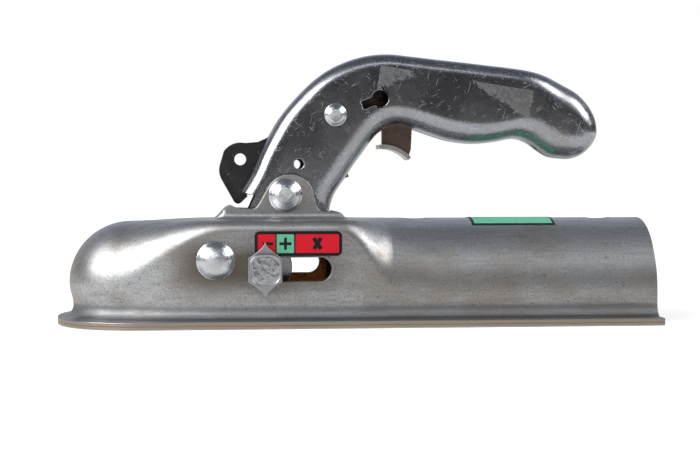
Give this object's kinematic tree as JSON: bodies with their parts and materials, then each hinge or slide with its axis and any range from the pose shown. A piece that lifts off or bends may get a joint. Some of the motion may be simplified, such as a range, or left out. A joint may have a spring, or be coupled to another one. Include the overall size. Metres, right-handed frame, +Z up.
{
  "type": "trailer coupling head",
  "caption": "Pressed-steel ball coupling head for a round drawbar, with lever handle, safety catch, swinging jaw and sliding wear pointer.",
  "frame": {"origin": "middle of the flange's underside", "axes": "+X towards the drawbar, nose on -X, +Z up, -Y the side of the pointer"},
  "size_m": [0.28, 0.092, 0.1268],
  "materials": {
    "zinc_sheet": "zinc-plated deep-drawn steel, satin",
    "handle_sheet": "bright zinc-plated deep-drawn steel, scratched",
    "rivet_steel": "bright zinc-plated rivet steel",
    "forged_steel": "greased zinc-plated steel",
    "dark_steel": "oiled dark steel",
    "catch_steel": "dark zinc-plated steel plate",
    "cast_zinc": "rough die-cast zinc",
    "red_label": "printed film label",
    "green_label": "printed film label"
  },
  "bodies": {
    "housing": {"body_shell": "zinc_sheet", "jaw_rivet": "rivet_steel", "handle_rivet": "rivet_steel", "jaw_sleeve_near": "dark_steel", "jaw_sleeve_far": "dark_steel", "slot_label_near": "red_label", "slot_label_far": "red_label", "top_label": "green_label"},
    "jaw": {"ball_jaw": "forged_steel"},
    "handle": {"handle_shell": "handle_sheet", "handle_sleeve": "dark_steel", "catch_rivet": "rivet_steel", "catch_sleeve_near": "dark_steel", "catch_sleeve_far": "dark_steel", "main_spring": "dark_steel", "catch_spring": "dark_steel"},
    "catch": {"catch_plate": "catch_steel"},
    "bolt": {"cross_bolt": "forged_steel", "pointer": "cast_zinc", "bolt_sleeve": "dark_steel", "side_sleeve_near": "dark_steel", "side_sleeve_far": "dark_steel", "bolt_roller_near": "rivet_steel", "bolt_roller_far": "rivet_steel", "slot_washer_near": "rivet_steel", "slot_washer_far": "rivet_steel"}
  },
  "joints": [
    {"name": "handle_lift", "type": "hinge", "parent": "housing", "child": "handle", "pos_m": [-0.0336, 0, 0.0599], "axis": [0, -1, 0], "range_deg": [0, 40.7], "stiffness_Nm_per_rad": 1.5, "springref_deg": -17.19, "deforming": ["main_spring"]},
    {"name": "catch_squeeze", "type": "hinge", "parent": "handle", "child": "catch", "pos_m": [-0.0097, 0, 0.09775], "axis": [0, -1, 0], "range_deg": [0, 8], "stiffness_Nm_per_rad": 0.4, "springref_deg": -11.46, "deforming": ["catch_spring"]},
    {"name": "bolt_slide", "type": "slide", "parent": "housing", "child": "bolt", "axis": [1, 0, 0], "range_m": [0, 0.025]},
    {"name": "jaw_swing", "type": "hinge", "parent": "housing", "child": "jaw", "pos_m": [-0.0666, 0, 0.0304], "axis": [0, -1, 0], "range_deg": [0, 10]}
  ],
  "couplings": [
    {"joint": "bolt_slide", "follows": "handle_lift", "m_per_rad": 0.035194},
    {"joint": "jaw_swing", "follows": "handle_lift", "ratio": 0.2457}
  ]
}
